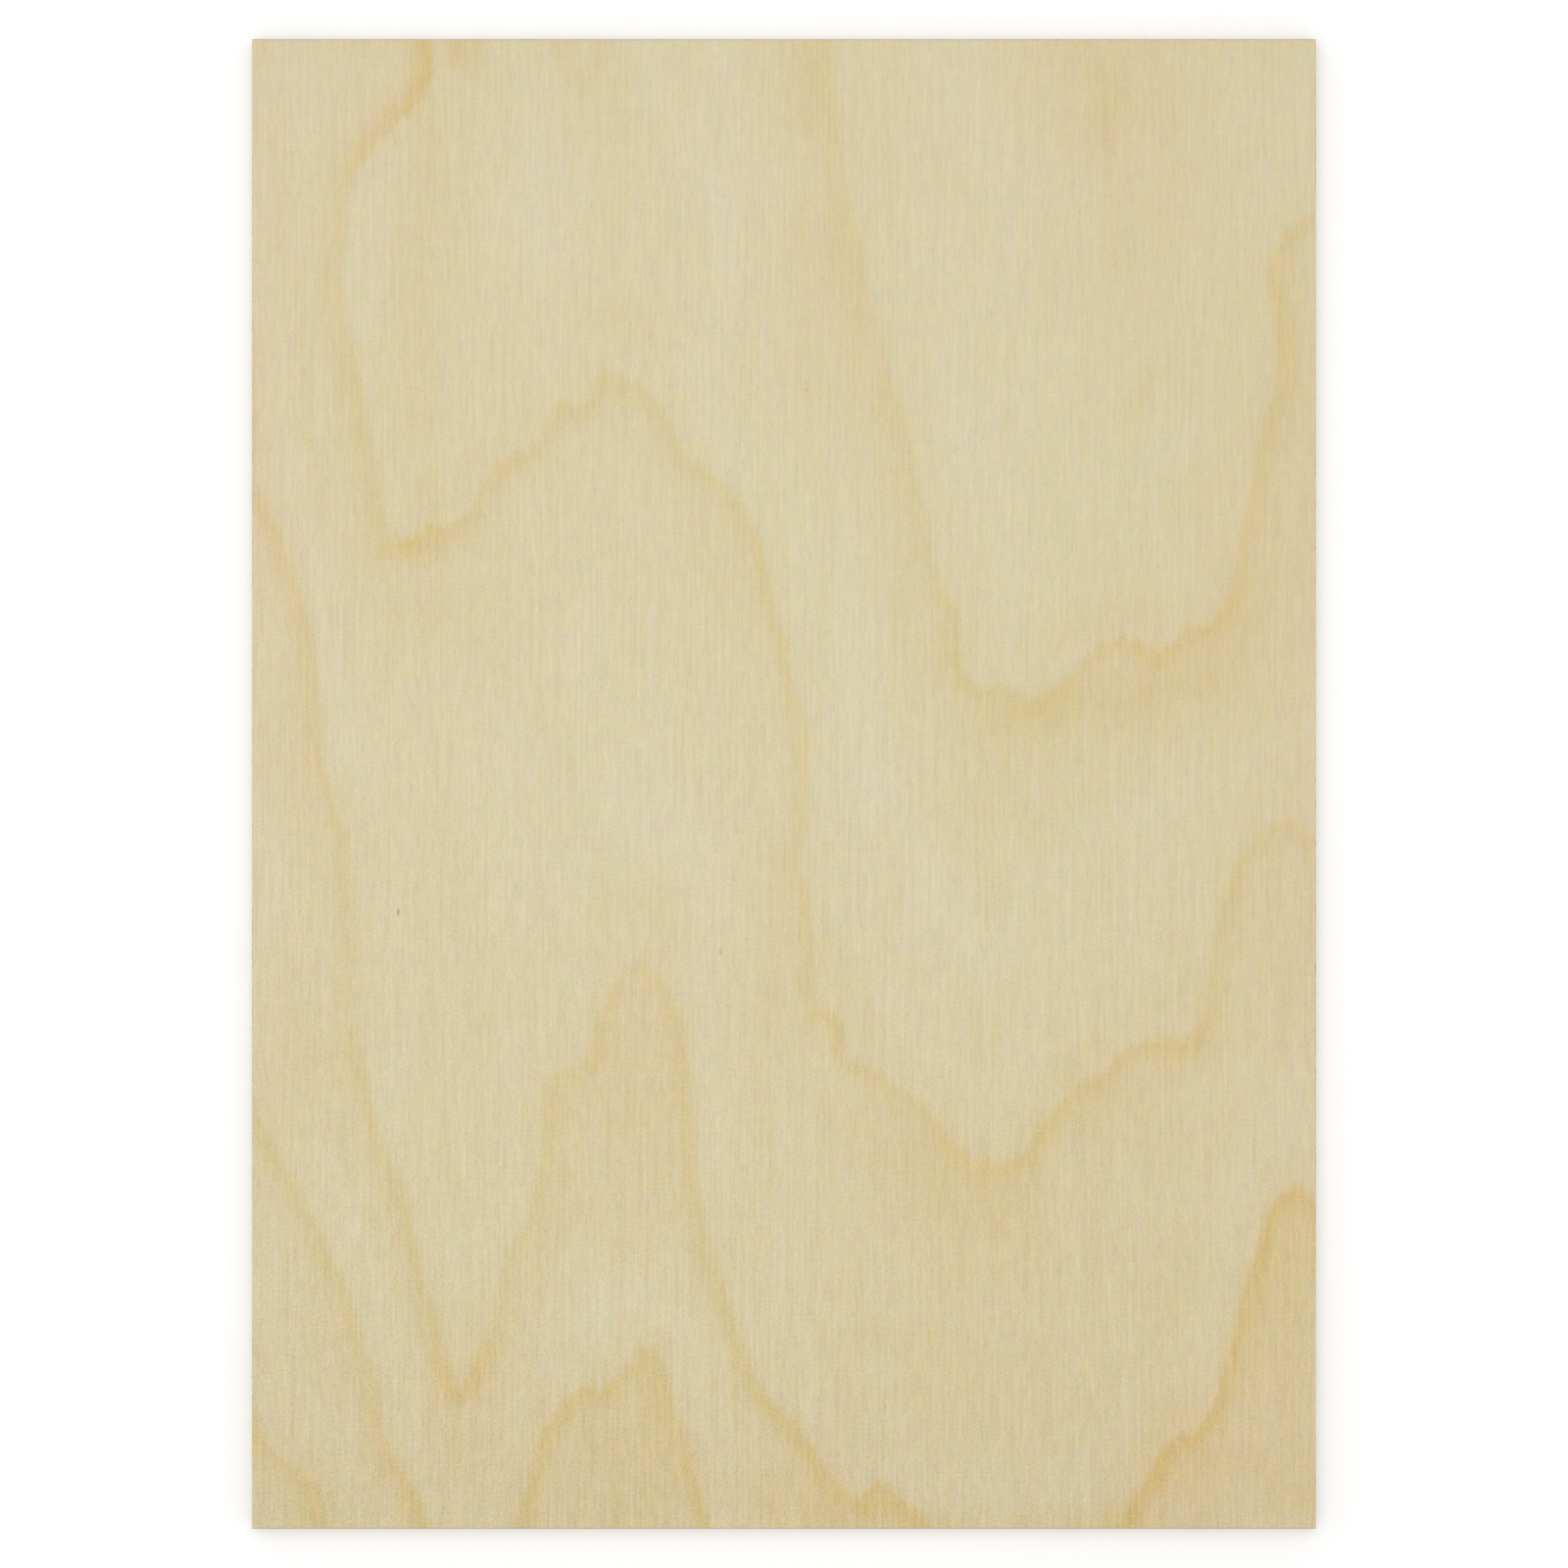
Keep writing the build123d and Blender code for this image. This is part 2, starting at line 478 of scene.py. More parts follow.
def makeBodyTree(materials):
    tree = bpy.data.node_groups.new("pressedBoard", "GeometryNodeTree")
    for name, value in body.items():
        kind = "NodeSocketInt" if isinstance(value, int) else "NodeSocketFloat"
        addSocket(tree, name, "INPUT", kind, value)
    addSocket(tree, "Board", "OUTPUT", "NodeSocketGeometry")
    given = tree.nodes.new("NodeGroupInput").outputs
    rows = times(tree, given["Plies"], rowsPerPly)

    box = addNode(tree, "GeometryNodeMeshCube", {
        "Size": combine(tree, given["Width"], given["Length"], rows),
        "Vertices X": plus(tree, given["Cells Across"], 1.0),
        "Vertices Y": plus(tree, given["Cells Along"], 1.0),
        "Vertices Z": plus(tree, rows, 1.0),
    })
    spot = addNode(tree, "GeometryNodeInputPosition").outputs[0]
    x, y, z = separate(tree, spot)

    def isAt(value, wanted):
        # 1 where a whole number is the wanted one.
        return sums(tree, "COMPARE", value, wanted, 0.1)

    # Which row of the side a point is in, and which veneer that row belongs to
    row = sums(tree, "ROUND", plus(tree, z, times(tree, rows, 0.5)))
    ply = sums(tree, "FLOOR", sums(tree, "DIVIDE", row, rowsPerPly))
    step = minus(tree, row, times(tree, ply, rowsPerPly))
    isSeam = isAt(step, 0.0)
    isLower = isAt(step, 1.0)
    isUpper = isAt(step, 2.0)
    lastPly = minus(tree, given["Plies"], 1.0)
    onUnderside = isAt(row, 0.0)
    onFace = isAt(row, rows)

    # Height of the seams between veneers. The outer veneers are the thinner ones, so their outer
    # seams come out past the board, and are brought back to its underside and its face.
    innerStack = minus(tree, given["Thickness"], times(tree, given["Face Ply"], 2.0))
    innerPly = sums(tree, "DIVIDE", innerStack, minus(tree, given["Plies"], 2.0))

    def seamHeight(number):
        height = plus(tree, given["Face Ply"], times(tree, minus(tree, number, 1.0), innerPly))
        return sums(tree, "MINIMUM", sums(tree, "MAXIMUM", height, 0.0), given["Thickness"])

    low = seamHeight(ply)
    high = seamHeight(plus(tree, ply, 1.0))

    def gapBeside(facePly):
        # The step beside a seam is the glue gap, and beside the face or back it is the arris.
        extra = times(tree, isAt(ply, facePly), minus(tree, given["Arris"], given["Glue Gap"]))
        return plus(tree, given["Glue Gap"], extra)

    rise = times(tree, isLower, gapBeside(0.0))
    upper = minus(tree, minus(tree, high, low), gapBeside(lastPly))
    height = plus(tree, low, plus(tree, rise, times(tree, isUpper, upper)))

    # The seams wander up and down, but the arrises and both faces stay straight.
    innerHalf = 0.46  # of the thickness, each way from its middle
    seedStep = 7.3
    flat = combine(tree, x, y)
    waves = vectorSums(tree, "DIVIDE", flat, given["Wave Length"])
    plySeed = plus(tree, given["Seed"], times(tree, ply, seedStep))
    wave = noiseAt(tree, waves, (1, 1, 1), plySeed, detail=1.0)
    level = sums(tree, "DIVIDE", height, given["Thickness"])
    isInner = sums(tree, "COMPARE", level, 0.5, innerHalf)
    wander = times(tree, times(tree, wave, given["Wave"]), isInner)
    height = plus(tree, height, wander)

    # How far each row stands back from the board's sawn outline
    onEither = plus(tree, onUnderside, onFace)
    seamBack = times(tree, minus(tree, isSeam, onEither), given["Groove"])
    tears = vectorSums(tree, "DIVIDE", flat, given["Tear Length"])
    rough = noiseAt(tree, tears, (1, 1, 1), plus(tree, given["Seed"], row))
    torn = times(tree, times(tree, plus(tree, rough, 0.5), given["Roughness"]), isInner)
    inset = plus(tree, plus(tree, times(tree, onEither, given["Arris"]), seamBack), torn)

    def drawnIn(value, span):
        share = sums(tree, "DIVIDE", times(tree, inset, 2.0), span)
        return times(tree, value, minus(tree, 1.0, share))

    moved = combine(tree, drawnIn(x, given["Width"]), drawnIn(y, given["Length"]), height)
    nearSeam = 0.09  # where the row beside a seam is, as a share of its veneer
    inPly = plus(tree, times(tree, isLower, nearSeam), times(tree, isUpper, 1 - nearSeam))
    kept = addNode(tree, "GeometryNodeStoreNamedAttribute", {
        "Geometry": box.outputs["Mesh"], "Name": "plyPlace", "Value": plus(tree, ply, inPly),
    }, data_type="FLOAT", domain="POINT")
    shaped = addNode(tree, "GeometryNodeSetPosition", {
        "Geometry": kept.outputs[0], "Position": moved,
    })

    # Sides that face X keep 0 and ends that face Y get 1, which tells how each veneer is cut.
    normal = addNode(tree, "GeometryNodeInputNormal").outputs[0]
    normalY = separate(tree, normal)[1]
    isEnd = sums(tree, "GREATER_THAN", sums(tree, "ABSOLUTE", normalY), 0.6)
    sided = addNode(tree, "GeometryNodeStoreNamedAttribute", {
        "Geometry": shaped.outputs[0], "Name": "endSide", "Value": isEnd,
    }, data_type="FLOAT", domain="FACE")
    solid = addNode(tree, "GeometryNodeRealizeInstances", {"Geometry": sided.outputs[0]}).outputs[0]

    # Materials: the sawn sides first, then the face and the back
    newSpot = addNode(tree, "GeometryNodeInputPosition").outputs[0]
    newHeight = separate(tree, newSpot)[2]
    skin = times(tree, given["Arris"], 0.25)
    isTop = sums(tree, "GREATER_THAN", newHeight, minus(tree, given["Thickness"], skin))
    isBack = sums(tree, "LESS_THAN", newHeight, skin)
    dressed = solid
    for name, chosen in (("sawn", True), ("face", isTop), ("back", isBack)):
        dressed = addNode(tree, "GeometryNodeSetMaterial", {
            "Geometry": dressed, "Selection": chosen, "Material": materials[name],
        }).outputs[0]
    addNode(tree, "NodeGroupOutput", {0: dressed})
    return tree


# Shader groups that the materials share


def makeFibreGroup():
    # Wood fibre: Place is in millimetres and its Y runs along the grain. Each output swings about 0.
    tree = bpy.data.node_groups.new("birchFibre", "ShaderNodeTree")
    addSocket(tree, "Place", "INPUT", "NodeSocketVector")
    addSocket(tree, "Seed", "INPUT", "NodeSocketFloat", 0.0)
    given = tree.nodes.new("NodeGroupInput").outputs
    place, seed = given["Place"], given["Seed"]

    def layer(across, along, number, detail=0.0):
        # Noise with cells so wide and so long, and a number for its seed.
        return noiseAt(tree, place, (across, along, across), plus(tree, seed, number * 3.17), detail)

    made = {
        "Fibre": plus(tree, layer(1.3, 9.0, 2), layer(1.4, 60.0, 8)),
        "Speckle": layer(1.0, 1.2, 1),
        "Streak": layer(4.5, 90.0, 3, detail=1.0),
        "Band": layer(16.0, 200.0, 4, detail=1.0),
        "Yellow": layer(6.0, 8.0, 5, detail=3.0),
        "Pink": layer(6.0, 8.0, 6, detail=3.0),
        "Pore": ramp(tree, layer(0.5, 5.0, 7), 0.16, 0.30),
    }
    for name in made:
        addSocket(tree, name, "OUTPUT", "NodeSocketFloat")
    addNode(tree, "NodeGroupOutput", made)
    return tree


# How a growth line looks across its width, in millimetres, and how far the fibres fray it.
lineShape = {
    "Edge": 2.3,
    "Core": 6.0,
    "Core Place": 3.2,
    "Core Share": 0.67,
    "Fade": 20.0,
    "Fade Share": 0.51,
    "Bleed": 7.0,
    "Bleed Share": 0.18,
    "Fray": 0.6,
    "Faint Lines": 0.45,
}
faintLines = {"perYear": 6.0, "across": 110.0, "along": 260.0}  # the last two are cells, in millimetres
lineNumbers = range(1, len(growthLines) - 1)  # the lines above and below these are off the board


def makeRingGroup():
    # Turns the distance below each growth line into the darkness of the late wood, 1 in the middle
    # of a usual line. A line starts sharply at its upper side and fades slowly below. Fibres on a
    # nearly level line start a little higher or lower than their neighbours, which frays it.
    tree = bpy.data.node_groups.new("growthRing", "ShaderNodeTree")
    addSocket(tree, "Place", "INPUT", "NodeSocketVector")
    settings = {"Year": 0.0, "Rise": 0.0, "Darkness": 1.0, "Seed": 0.0} | lineShape
    for number in lineNumbers:
        settings[f"Line {number}"] = 0.0
    for name, value in settings.items():
        addSocket(tree, name, "INPUT", "NodeSocketFloat", value)
    addSocket(tree, "Late", "OUTPUT", "NodeSocketFloat")
    given = tree.nodes.new("NodeGroupInput").outputs
    place, seed = given["Place"], given["Seed"]

    def fibres(across, along, number, reach):
        # How far fibres so wide and so long move the line, up to about half the reach.
        noise = noiseAt(tree, place, (across, along, across), plus(tree, seed, number * 5.31))
        return times(tree, noise, reach)

    fine = plus(tree, fibres(2.8, 25.0, 2, 10.0), fibres(1.3, 14.0, 3, 9.0))
    offset = plus(tree, fibres(8.0, 40.0, 1, 3.0), fine)
    shift = times(tree, times(tree, offset, given["Fray"]), given["Rise"])

    def fading(distance, length):
        return sums(tree, "EXPONENT", times(tree, sums(tree, "DIVIDE", distance, length), -1.0))

    dark = 0.0
    for number in lineNumbers:
        below = plus(tree, given[f"Line {number}"], shift)
        edge = ramp(tree, below, times(tree, given["Edge"], -1.0), given["Edge"])
        fromCore = sums(tree, "DIVIDE", minus(tree, below, given["Core Place"]), given["Core"])
        core = fading(times(tree, fromCore, fromCore), 1.0)
        tail = fading(sums(tree, "MAXIMUM", below, 0.0), given["Fade"])
        inside = plus(tree, times(tree, core, given["Core Share"]), times(tree, tail, given["Fade Share"]))
        beyond = sums(tree, "MAXIMUM", times(tree, below, -1.0), 0.0)
        bleed = times(tree, fading(beyond, given["Bleed"]), given["Bleed Share"])
        bleed = times(tree, bleed, minus(tree, 1.0, edge))
        dark = plus(tree, dark, plus(tree, times(tree, inside, edge), bleed))

    # Faint lines within a year run beside the strong ones.
    x, y = separate(tree, place)[:2]
    beside = combine(tree, times(tree, given["Year"], faintLines["perYear"]),
                     times(tree, x, 1 / faintLines["across"]), times(tree, y, 1 / faintLines["along"]))
    faint = noiseAt(tree, beside, (1, 1, 1), plus(tree, seed, 7.7), detail=1.0)
    late = plus(tree, times(tree, dark, given["Darkness"]), times(tree, faint, given["Faint Lines"]))
    addNode(tree, "NodeGroupOutput", {0: late})
    return tree


def makeFleckGroup():
    # One small mark on the wood: 1 in its middle and 0 outside its outline.
    tree = bpy.data.node_groups.new("fleck", "ShaderNodeTree")
    for name in ("Place", "Centre", "Half Size"):
        addSocket(tree, name, "INPUT", "NodeSocketVector")
    addSocket(tree, "Mark", "OUTPUT", "NodeSocketFloat")
    given = tree.nodes.new("NodeGroupInput").outputs
    off = vectorSums(tree, "SUBTRACT", given["Place"], given["Centre"])
    off = vectorSums(tree, "DIVIDE", off, given["Half Size"])
    reach = addNode(tree, "ShaderNodeVectorMath", {0: off}, operation="LENGTH").outputs["Value"]
    addNode(tree, "NodeGroupOutput", {0: ramp(tree, reach, 0.35, 1.0, 1.0, 0.0)})
    return tree


def useGroup(tree, group, inputs):
    return addNode(tree, "ShaderNodeGroup", inputs, node_tree=group).outputs


def startMaterial(name):
    material = bpy.data.materials.new(name)
    material.use_nodes = True
    tree = material.node_tree
    return material, tree, tree.nodes["Principled BSDF"]


def millimetres(tree):
    coordinates = tree.nodes.new("ShaderNodeTexCoord").outputs["Object"]
    return vectorSums(tree, "MULTIPLY", coordinates, (1 / mm, 1 / mm, 1 / mm))


def attribute(tree, name):
    return addNode(tree, "ShaderNodeAttribute", attribute_name=name).outputs["Fac"]


def shifted(tree, colour, amount, step):
    # A colour moved by amount times step.
    inputs = {0: amount, 1: step, 2: colour}
    return addNode(tree, "ShaderNodeVectorMath", inputs, operation="MULTIPLY_ADD").outputs[0]


grainShares = {"fibre": 0.6, "speckle": 0.75}


def grainOf(tree, fibre, speckle, strength):
    # Rougher wood has stronger fibres, and even more speckle.
    fibreShare = times(tree, strength, grainShares["fibre"])
    speckleShare = times(tree, times(tree, strength, strength), grainShares["speckle"])
    return plus(tree, times(tree, fibre, fibreShare), times(tree, speckle, speckleShare))


def finishShader(tree, shader, finish, colour, gloss, height):
    inputs = {"Height": height, "Strength": finish["bump"], "Distance": finish["relief"]}
    bump = addNode(tree, "ShaderNodeBump", inputs)
    setInputs(tree, shader, {
        "Base Color": colour,
        "Roughness": gloss,
        "Normal": bump.outputs[0],
        "Specular IOR Level": finish["specular"],
    })


def stepFrom(colour, red, green, blue):
    # The way from a screen colour to one that is so many levels lighter or darker, for shifted().
    start, end = paint(*colour), paint(colour[0] + red, colour[1] + green, colour[2] + blue)
    return [b - a for a, b in zip(start[:3], end[:3])]


paleBirch = (218, 205, 168.5)
faceFinish = {
    "pale": paint(*paleBirch)[:3],
    "late": stepFrom(paleBirch, -2.3, -7, -17),  # the darkness of a usual growth line
    "light": stepFrom(paleBirch, 5.0, 4.9, 7.2),  # lighter and darker fibres
    "yellow": stepFrom(paleBirch, 4.8, 4.4, -7.6),
    "pink": stepFrom(paleBirch, 3.0, -2.4, 0.5),
    "fleck": paint(128, 84, 52),
    "lightGrain": 2.6,
    "lightStreak": 0.5,
    "yellowSpots": 1.7,
    "pinkSpots": 2.8,
    "lateStreak": 0.6,
    "lateBand": 0.5,
    "bump": 0.25,
    "relief": 0.05 * mm,
    "gloss": (0.58, 0.68),  # the range of its roughness
    "specular": 0.3,
}

# Small marks that the face has in the photo: x, y, half width and half length in pixels, darkness.
faceFlecks = [
    (407, 931, 2.2, 6.0, 0.40),
    (735, 971, 2.0, 4.5, 0.25),
    (758, 1192, 1.8, 8.0, 0.14),
    (822, 398, 2.5, 3.0, 0.12),
    (1194, 250, 1.6, 3.5, 0.14),
    (1002, 446, 1.8, 3.0, 0.14),
    (527, 905, 1.8, 5.0, 0.14),
    (902, 1436, 1.4, 9.0, 0.14),
    (1137, 1275, 1.4, 10.0, 0.12),
]


def fleckPlace(x, y):
    # From the photo's pixels to millimetres on the face.
    across = (x - photo["left"]) / photoWidth - 0.5
    along = 0.5 - (y - photo["top"]) / photoHeight
    return across * boardWidth / mm, along * boardLength / mm, boardThickness / mm


def makeVeneer(name, finish, fibre, ring, fleck, flecks, seed):
    material, tree, shader = startMaterial(name)
    place = millimetres(tree)
    wood = useGroup(tree, fibre, {"Place": place, "Seed": seed})
    lines = {f"Line {number}": attribute(tree, f"line{number}") for number in lineNumbers}
    rings = useGroup(tree, ring, lines | {
        "Place": place,
        "Year": attribute(tree, "woodYear"),
        "Rise": attribute(tree, "lineRise"),
        "Darkness": attribute(tree, "lineDarkness"),
        "Seed": seed,
    })
    late = plus(tree, rings["Late"], attribute(tree, "woodShade"))
    late = plus(tree, late, times(tree, wood["Streak"], finish["lateStreak"]))
    late = plus(tree, late, times(tree, wood["Band"], finish["lateBand"]))
    grain = grainOf(tree, wood["Fibre"], wood["Speckle"], attribute(tree, "fibreStrength"))
    light = plus(tree, times(tree, grain, finish["lightGrain"]),
                 times(tree, wood["Streak"], finish["lightStreak"]))
    # Painted shade: the face is darkened towards its bottom and top edges, where the light falls off.
    light = minus(tree, light, attribute(tree, "paintedFalloffShade"))
    pink = plus(tree, attribute(tree, "woodTint"), times(tree, wood["Pink"], finish["pinkSpots"]))
    colour = shifted(tree, finish["pale"], late, finish["late"])
    colour = shifted(tree, colour, light, finish["light"])
    colour = shifted(tree, colour, times(tree, wood["Yellow"], finish["yellowSpots"]), finish["yellow"])
    colour = shifted(tree, colour, pink, finish["pink"])
    colour = shifted(tree, colour, wood["Pore"], [-part for part in finish["light"]])
    depth = 5.0  # millimetres
    for x, y, halfWidth, halfLength, darkness in flecks:
        mark = useGroup(tree, fleck, {
            "Place": place,
            "Centre": fleckPlace(x, y),
            "Half Size": (halfWidth * mmPerPixel, halfLength * mmPerPixel, depth),
        })
        colour = blend(tree, times(tree, mark["Mark"], darkness), colour, finish["fleck"])
    gloss = ramp(tree, wood["Streak"], -0.3, 0.3, *finish["gloss"], "LINEAR")
    finishShader(tree, shader, finish, colour, gloss, grain)
    return material


sawnFinish = {
    "longGrain": paint(226, 210, 172),
    "endGrain": paint(196, 168, 124),
    "shadow": paint(140, 112, 74),
    "glue": paint(112, 78, 48),
    "fibreStrength": 1.25,
    "shadeBase": 0.12,
    "shadeGrain": 0.9,
    "shadeStreak": 0.35,
    "shadeBand": 0.35,
    "shadeKerf": 0.05,
    "kerfPitch": 2.4,  # millimetres between saw marks
    "kerfWobble": 5.0,  # millimetres
    "glueDarkness": 0.75,
    "glueReach": (0.03, 0.10),  # its dark middle and its edge, as shares of a veneer
    "reliefGrain": 0.6,
    "reliefKerf": 0.25,
    "bump": 0.5,
    "relief": 0.12 * mm,
    "gloss": (0.66, 0.82),  # roughness of long grain and of end grain
    "specular": 0.25,
}


def makeSawn(finish, fibre, seed):
    # Veneers one, three and so on run along the board, and the ones between run across it.
    material, tree, shader = startMaterial("birchSawnSide")
    place = millimetres(tree)
    x, y, z = separate(tree, place)
    turned = combine(tree, y, x, z)
    plyPlace = attribute(tree, "plyPlace")
    ply = sums(tree, "FLOOR", plyPlace)
    runsAcross = sums(tree, "FLOORED_MODULO", ply, 2.0)
    isEnd = attribute(tree, "endSide")
    isSide = minus(tree, 1.0, isEnd)
    plySeed = plus(tree, times(tree, ply, 2.7), seed)
    along = useGroup(tree, fibre, {"Place": place, "Seed": plySeed})
    across = useGroup(tree, fibre, {"Place": turned, "Seed": plySeed})

    def pick(name):
        inputs = {0: runsAcross, 2: along[name], 3: across[name]}
        return addNode(tree, "ShaderNodeMix", inputs, data_type="FLOAT").outputs[0]

    # End grain shows where the veneer's fibres meet this side head on.
    longGrain = sums(tree, "ABSOLUTE", minus(tree, runsAcross, isSide))
    endGrain = minus(tree, 1.0, longGrain)
    colour = blend(tree, endGrain, finish["longGrain"], finish["endGrain"])

    # Saw marks come and go along each side.
    run = plus(tree, times(tree, x, isEnd), times(tree, y, isSide))
    wobble = noiseAt(tree, place, (30.0, 30.0, 6.0), seed + 40.0)
    run = plus(tree, run, times(tree, wobble, finish["kerfWobble"]))
    kerf = sums(tree, "SINE", times(tree, run, 2 * math.pi / finish["kerfPitch"]))
    kerfStrength = noiseAt(tree, place, (22.0, 22.0, 40.0), seed + 50.0)
    kerf = times(tree, kerf, ramp(tree, kerfStrength, -0.15, 0.2))

    grain = grainOf(tree, pick("Fibre"), pick("Speckle"), finish["fibreStrength"])
    shade = plus(tree, times(tree, grain, finish["shadeGrain"]),
                 times(tree, pick("Streak"), finish["shadeStreak"]))
    shade = plus(tree, shade, times(tree, pick("Band"), finish["shadeBand"]))
    shade = plus(tree, shade, times(tree, kerf, finish["shadeKerf"]))
    shade = sums(tree, "MAXIMUM", plus(tree, shade, finish["shadeBase"]), 0.0)
    colour = blend(tree, shade, colour, finish["shadow"])

    # Glue shows at the seams, but not at the arrises, which are half a stack from the middle.
    fromSeam = sums(tree, "FRACT", plus(tree, plyPlace, 0.5))
    fromSeam = sums(tree, "ABSOLUTE", minus(tree, fromSeam, 0.5))
    glue = ramp(tree, fromSeam, *finish["glueReach"], 1.0, 0.0)
    halfStack = body["Plies"] / 2
    fromMiddle = sums(tree, "ABSOLUTE", minus(tree, plyPlace, halfStack))
    inner = ramp(tree, fromMiddle, halfStack - 0.4, halfStack - 0.2, 1.0, 0.0)
    glue = times(tree, times(tree, glue, inner), finish["glueDarkness"])
    colour = blend(tree, glue, colour, finish["glue"])

    relief = plus(tree, times(tree, grain, finish["reliefGrain"]), times(tree, kerf, finish["reliefKerf"]))
    gloss = ramp(tree, endGrain, 0.0, 1.0, *finish["gloss"], "LINEAR")
    finishShader(tree, shader, finish, colour, gloss, relief)
    return material


fibreGroup = makeFibreGroup()
ringGroup = makeRingGroup()
fleckGroup = makeFleckGroup()
materials = {
    "face": makeVeneer("birchFace", faceFinish, fibreGroup, ringGroup, fleckGroup, faceFlecks, 0.0),
    "back": makeVeneer("birchBack", faceFinish, fibreGroup, ringGroup, fleckGroup, [], 60.0),
    "sawn": makeSawn(sawnFinish, fibreGroup, 20.0),
}
print("materials made")


def makeBoard(materials):
    # The piece itself, as a plain mesh
    maker = addObject("birchBoardMaking", bpy.data.meshes.new("birchBoardMaking"))
    modifier = maker.modifiers.new("pressedBoard", "NODES")
    modifier.node_group = makeBodyTree(materials)
    for item in modifier.node_group.interface.items_tree:
        if item.in_out == "INPUT":
            modifier[item.identifier] = body[item.name]
    evaluated = maker.evaluated_get(bpy.context.evaluated_depsgraph_get())
    mesh = bpy.data.meshes.new_from_object(evaluated)
    bpy.data.objects.remove(maker)
    mesh.name = "birchBoard"

    # Its material slots are put in the order of the materials, with no empty one.
    used = readFrom(mesh.polygons, "material_index", np.int32)
    names = [material and material.name for material in mesh.materials]
    mesh.materials.clear()
    for material in materials.values():
        mesh.materials.append(material)
    order = [material.name for material in materials.values()]
    slots = np.array([order.index(name) if name else 0 for name in names], np.int32)
    mesh.polygons.foreach_set("material_index", slots[used])
    print("body made,", len(mesh.polygons), "faces")
    return addObject("birchBoard", mesh)


# The back is another sheet of the same kind, whose log was a little oval and tapered. Its figure
# is a formula. Lengths are in millimetres, heights in years and angles in radians.
backSheet = {
    "middleYear": 3.2,
    "turn": 300.0,  # the figure repeats after one turn of the log
    "turnStart": 60.0,
    "turnHeight": 1.3,
    "leanLength": 160.0,
    "leanStart": 1.1,  # an angle
    "leanAngle": 0.55,
    "taper": 330.0,  # one year less over this length
    "ripples": [(0.28, 41.0, 90.0), (0.12, 17.0, -60.0)],  # height, length across and length along
    "room": 70.0,  # from one growth line to the next
}


def backYearAt(x, y):
    sheet = backSheet
    lean = sheet["leanAngle"] * np.sin(y / sheet["leanLength"] + sheet["leanStart"])
    wave = sheet["turnHeight"] * np.cos(2 * np.pi * (x + sheet["turnStart"]) / sheet["turn"] + lean)
    year = sheet["middleYear"] + wave - y / sheet["taper"]
    for height, across, along in sheet["ripples"]:
        year += height * np.sin(x / across + y / along)
    return year


def drawFigure(mesh):
    # Writes the figure of both faces onto the mesh, with the painted shade towards the face's edges, as
    # values that the veneer's material reads.
    spots = readFrom(mesh.vertices, "co", np.float32, 3).astype(float)
    isFace = spots[:, 2] > boardThickness / 2
    x = photo["left"] + (spots[:, 0] / boardWidth + 0.5) * photoWidth
    y = photo["top"] + (0.5 - spots[:, 1] / boardLength) * photoHeight
    step = 4.0  # pixels, for the slope
    below = linesAt(x, y)
    rise = (nearestLine(linesAt(x, y - step)) - nearestLine(linesAt(x, y + step))) / (2 * step)
    face = {
        "woodYear": yearAt(below),
        "lineRise": np.clip(rise, -1, 1),
        "lineDarkness": darknessAt(x, y),
        "woodShade": strokesAt(woodShades, x, y),
        "woodTint": strokesAt(woodTints, x, y),
        # painted shade towards the bottom and top edges of the face, where the light falls off
        "paintedFalloffShade": strokesAt(paintedFalloffStrokes, x, y),
        "fibreStrength": fibreStrengthAt(x, y),
    }

    x, y = spots[:, 0] / mm, spots[:, 1] / mm
    step, room = 2.0, backSheet["room"]
    year = backYearAt(x, y)
    rise = (backYearAt(x, y + step) - backYearAt(x, y - step)) / (2 * step) * room
    back = {
        "woodYear": year,
        "lineRise": np.clip(rise, -1, 1),
        "lineDarkness": 1.0,
        "fibreStrength": fibreStrength["back"],
    }
    for number in lineNumbers:
        face[f"line{number}"] = below[number] * mmPerPixel
        back[f"line{number}"] = (year - number) * room
    for name, value in face.items():
        layer = mesh.attributes.new(name, "FLOAT", "POINT")
        value = np.where(isFace, value, back.get(name, 0.0))
        layer.data.foreach_set("value", value.astype(np.float32))


board = makeBoard(materials)
drawFigure(board.data)
print("figure drawn")


